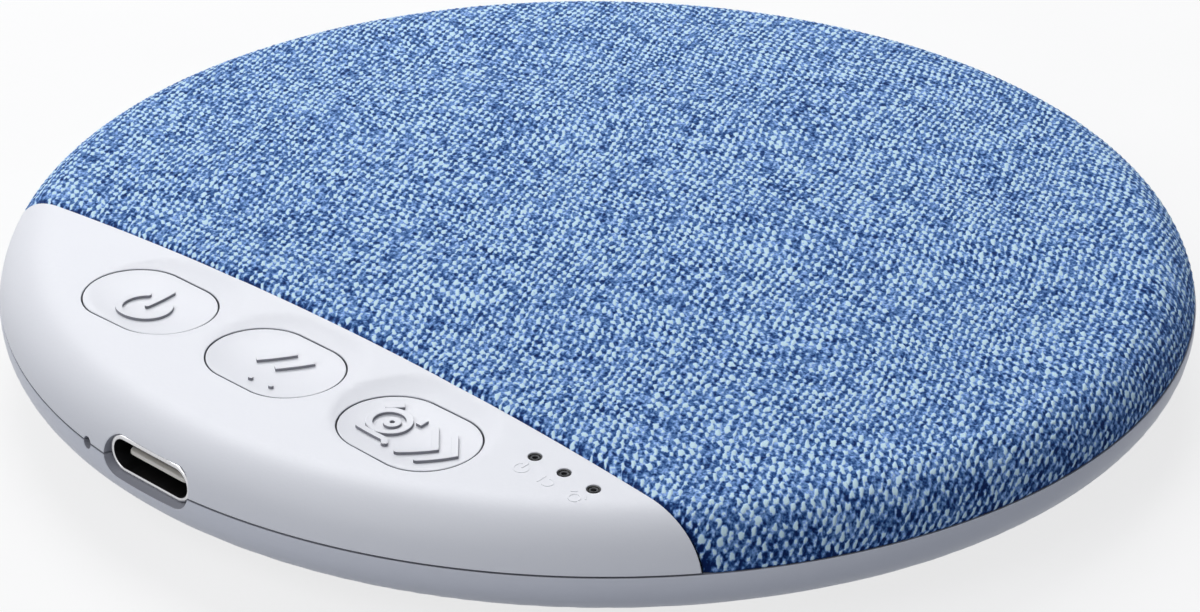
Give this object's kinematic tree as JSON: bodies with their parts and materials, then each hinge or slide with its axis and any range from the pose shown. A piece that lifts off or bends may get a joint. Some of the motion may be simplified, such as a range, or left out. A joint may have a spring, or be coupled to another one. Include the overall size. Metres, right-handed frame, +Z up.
{
  "type": "pillow speaker",
  "caption": "Flat round speaker for under a pillow, with a cloth-covered top, a control panel with dished press buttons and a charging socket in the rim.",
  "frame": {"origin": "on the supporting surface, under the middle of the disc", "axes": "+Z up through the crown, -Y towards the control panel and the charging socket"},
  "size_m": [0.1, 0.0999, 0.0132],
  "materials": {
    "shell_plastic": "satin",
    "panel_plastic": "satin",
    "button_plastic": "satin",
    "cover_fabric": "woven",
    "pad_rubber": "matte",
    "grille_plastic": "matte",
    "lens_plastic": "gloss",
    "lamp_resin": "gloss",
    "screw_steel": "bright",
    "socket_steel": "bright",
    "socket_insulator": "matte",
    "contact_plating": "bright",
    "switch_metal": "satin",
    "switch_plastic": "matte",
    "board_laminate": "satin",
    "chip_resin": "matte",
    "crystal_can": "satin",
    "ceramic_tan": "satin",
    "ceramic_white": "satin",
    "battery_foil": "satin",
    "pad_foam": "matte",
    "connector_nylon": "satin",
    "lead_red_skin": "satin",
    "lead_black_skin": "satin",
    "frame_steel": "satin",
    "yoke_steel": "bright",
    "magnet_metal": "matte",
    "coil_copper": "bright",
    "cone_paper": "matte",
    "surround_rubber": "matte",
    "terminal_board": "matte"
  },
  "bodies": {
    "housing": {"base_shell": "shell_plastic", "base_pad": "pad_rubber", "control_panel": "panel_plastic", "speaker_grille": "grille_plastic", "fabric_cover": "cover_fabric", "case_screws": "screw_steel", "power_switch_body": "switch_metal", "play_switch_body": "switch_metal", "alarm_switch_body": "switch_metal", "indicator_lens_1": "lens_plastic", "indicator_lens_2": "lens_plastic", "indicator_lens_3": "lens_plastic", "indicator_led_1": "lamp_resin", "indicator_led_2": "lamp_resin", "indicator_led_3": "lamp_resin", "main_board": "board_laminate", "charge_socket_shell": "socket_steel", "charge_socket_tongue": "socket_insulator", "charge_socket_contacts": "contact_plating", "charge_lamp": "lamp_resin", "audio_chip": "chip_resin", "amplifier_chip": "chip_resin", "charger_chip": "chip_resin", "crystal": "crystal_can", "power_inductor": "chip_resin", "chip_capacitors": "ceramic_tan", "chip_antenna": "ceramic_white", "battery_cell": "battery_foil", "battery_pad": "pad_foam", "battery_connector": "connector_nylon", "battery_lead_red": "lead_red_skin", "battery_lead_black": "lead_black_skin", "speaker_connector": "connector_nylon", "speaker_lead_red": "lead_red_skin", "speaker_lead_black": "lead_black_skin", "speaker_frame": "frame_steel", "speaker_yoke": "yoke_steel", "speaker_magnet": "magnet_metal", "speaker_top_plate": "yoke_steel", "cone_surround": "surround_rubber", "speaker_gasket": "pad_foam", "speaker_damper": "pad_foam", "speaker_terminals": "terminal_board"},
    "power_key": {"power_button": "button_plastic", "power_switch_plunger": "switch_plastic"},
    "play_key": {"play_button": "button_plastic", "play_switch_plunger": "switch_plastic"},
    "alarm_key": {"alarm_button": "button_plastic", "alarm_switch_plunger": "switch_plastic"},
    "cone": {"speaker_cone": "cone_paper", "dust_cap": "cone_paper", "voice_coil": "coil_copper"}
  },
  "joints": [
    {"name": "power_press", "type": "slide", "parent": "housing", "child": "power_key", "axis": [0, 0, -1], "range_m": [0, 0.0004], "stiffness_N_per_m": 2500},
    {"name": "play_press", "type": "slide", "parent": "housing", "child": "play_key", "axis": [0, 0, -1], "range_m": [0, 0.0004], "stiffness_N_per_m": 2500},
    {"name": "alarm_press", "type": "slide", "parent": "housing", "child": "alarm_key", "axis": [0, 0, -1], "range_m": [0, 0.0004], "stiffness_N_per_m": 2500},
    {"name": "cone_move", "type": "slide", "parent": "housing", "child": "cone", "axis": [0, 0, 1], "range_m": [-0.0005, 0.0005], "stiffness_N_per_m": 900, "deforming": ["cone_surround"]}
  ]
}
